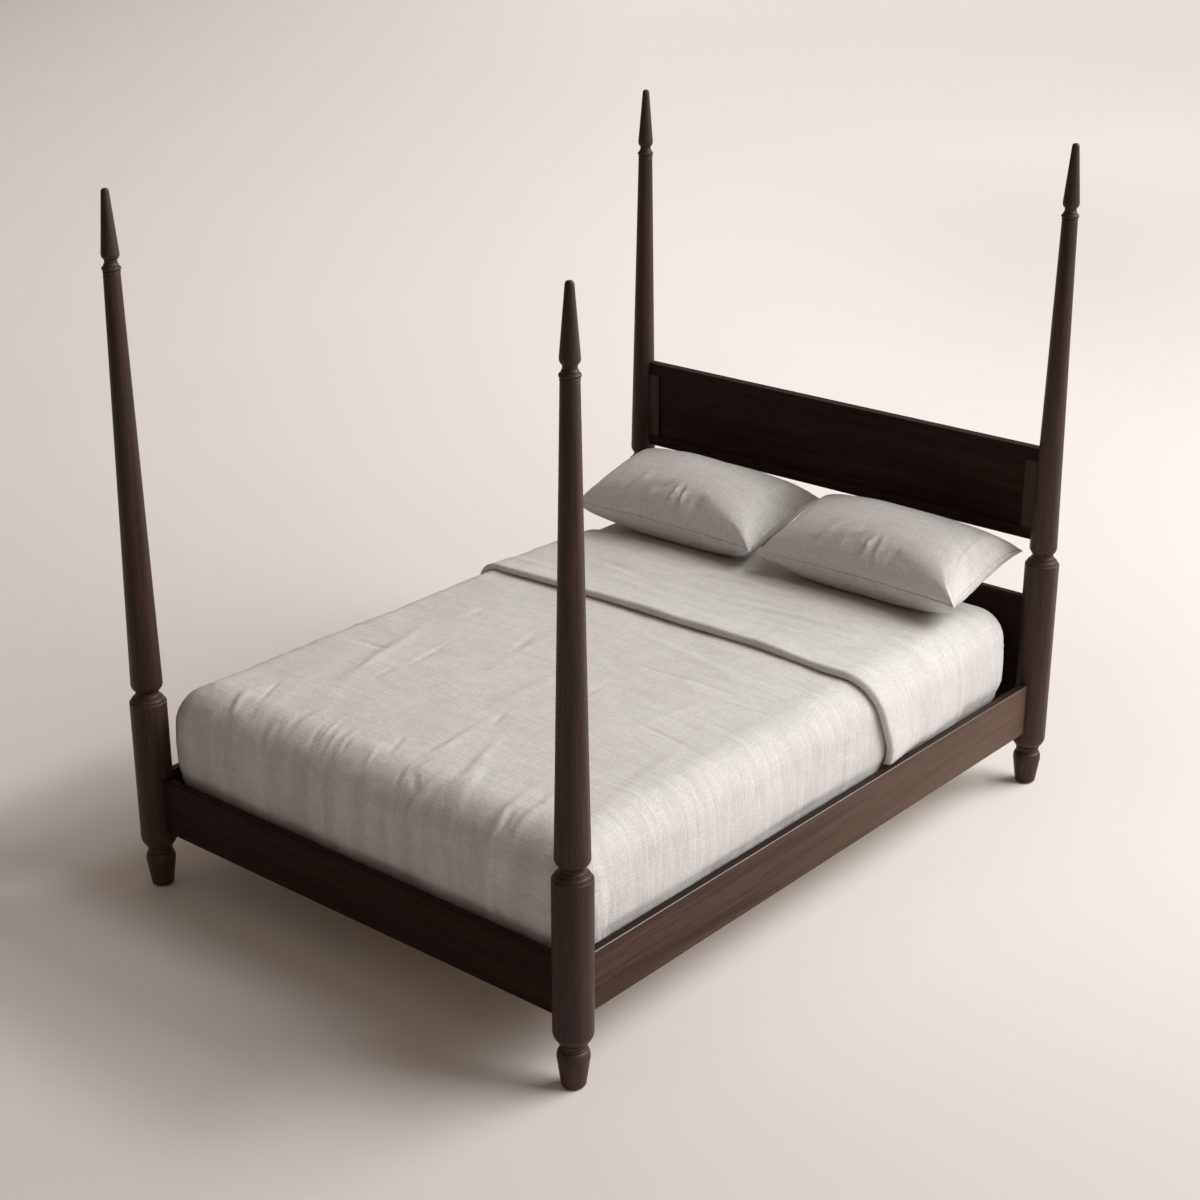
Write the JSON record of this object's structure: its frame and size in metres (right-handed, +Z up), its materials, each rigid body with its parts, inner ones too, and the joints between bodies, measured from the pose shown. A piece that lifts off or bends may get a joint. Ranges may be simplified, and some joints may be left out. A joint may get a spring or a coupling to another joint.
{
  "type": "four-poster bed",
  "caption": "Queen-size four-poster bed with tall tapered turned posts, low panelled headboard, plain rails, slatted base, mattress, coverlet and pillows.",
  "frame": {"origin": "on the floor under the middle of the bed", "axes": "+Z up, +Y towards the headboard, +X towards the right side seen from the foot"},
  "size_m": [1.676, 2.2979, 2.0121],
  "materials": {
    "dark_wood": "dark espresso stain, satin lacquer",
    "pine": "sawn and planed, bare",
    "zinc_steel": "zinc plated",
    "glide_plastic": "moulded",
    "linen": "warm grey slub linen weave",
    "mattress_ticking": "plain knitted ticking",
    "pillow_ticking": "plain cotton"
  },
  "bodies": {
    "frame": {"floor_glides": "glide_plastic", "lower_post_foot_left": "dark_wood", "lower_post_foot_right": "dark_wood", "lower_post_head_left": "dark_wood", "lower_post_head_right": "dark_wood", "upper_post_foot_left": "dark_wood", "upper_post_foot_right": "dark_wood", "upper_post_head_left": "dark_wood", "upper_post_head_right": "dark_wood", "headboard_top_rail": "dark_wood", "headboard_bottom_rail": "dark_wood", "headboard_stile_left": "dark_wood", "headboard_stile_right": "dark_wood", "headboard_panel": "dark_wood", "foot_rail": "dark_wood", "head_rail": "dark_wood", "side_rail_left": "dark_wood", "side_rail_right": "dark_wood", "ledger_left": "pine", "ledger_right": "pine", "centre_beam": "pine", "centre_leg_foot": "pine", "centre_leg_head": "pine", "headboard_dowels": "pine", "slat_1": "pine", "slat_2": "pine", "slat_3": "pine", "slat_4": "pine", "slat_5": "pine", "slat_6": "pine", "slat_7": "pine", "slat_8": "pine", "slat_9": "pine", "slat_10": "pine", "slat_11": "pine", "slat_12": "pine", "post_studs": "zinc_steel", "rail_bolts": "zinc_steel", "crescent_washers": "zinc_steel", "rail_nuts": "zinc_steel", "ledger_screws": "zinc_steel", "beam_hangers": "zinc_steel", "hanger_screws": "zinc_steel", "slat_screws": "zinc_steel", "leg_bolts": "zinc_steel"},
    "finial_foot_left": {"finial_foot_left": "dark_wood"},
    "finial_foot_right": {"finial_foot_right": "dark_wood"},
    "finial_head_left": {"finial_head_left": "dark_wood"},
    "finial_head_right": {"finial_head_right": "dark_wood"},
    "leveller_foot": {"leveller_foot": "glide_plastic"},
    "leveller_head": {"leveller_head": "glide_plastic"},
    "mattress": {"mattress": "mattress_ticking", "fitted_sheet": "linen", "coverlet": "linen", "coverlet_turnback": "linen"},
    "pillow_left": {"pillow_left_insert": "pillow_ticking", "pillow_left_case": "linen"},
    "pillow_right": {"pillow_right_insert": "pillow_ticking", "pillow_right_case": "linen"}
  },
  "joints": [
    {"name": "mattress_lift", "type": "slide", "parent": "frame", "child": "mattress", "axis": [0, 0, 1], "range_m": [0, 0.35]},
    {"name": "pillow_left_lift", "type": "slide", "parent": "mattress", "child": "pillow_left", "axis": [0, 0, 1], "range_m": [0, 0.3]},
    {"name": "pillow_right_lift", "type": "slide", "parent": "mattress", "child": "pillow_right", "axis": [0, 0, 1], "range_m": [0, 0.3]},
    {"name": "finial_foot_left_lift", "type": "slide", "parent": "frame", "child": "finial_foot_left", "axis": [0, 0, 1], "range_m": [0, 0.05]},
    {"name": "finial_foot_right_lift", "type": "slide", "parent": "frame", "child": "finial_foot_right", "axis": [0, 0, 1], "range_m": [0, 0.05]},
    {"name": "finial_head_left_lift", "type": "slide", "parent": "frame", "child": "finial_head_left", "axis": [0, 0, 1], "range_m": [0, 0.05]},
    {"name": "finial_head_right_lift", "type": "slide", "parent": "frame", "child": "finial_head_right", "axis": [0, 0, 1], "range_m": [0, 0.05]},
    {"name": "leveller_foot_screw", "type": "slide", "parent": "frame", "child": "leveller_foot", "axis": [0, 0, 1], "range_m": [-0.015, 0]},
    {"name": "leveller_head_screw", "type": "slide", "parent": "frame", "child": "leveller_head", "axis": [0, 0, 1], "range_m": [-0.015, 0]}
  ]
}
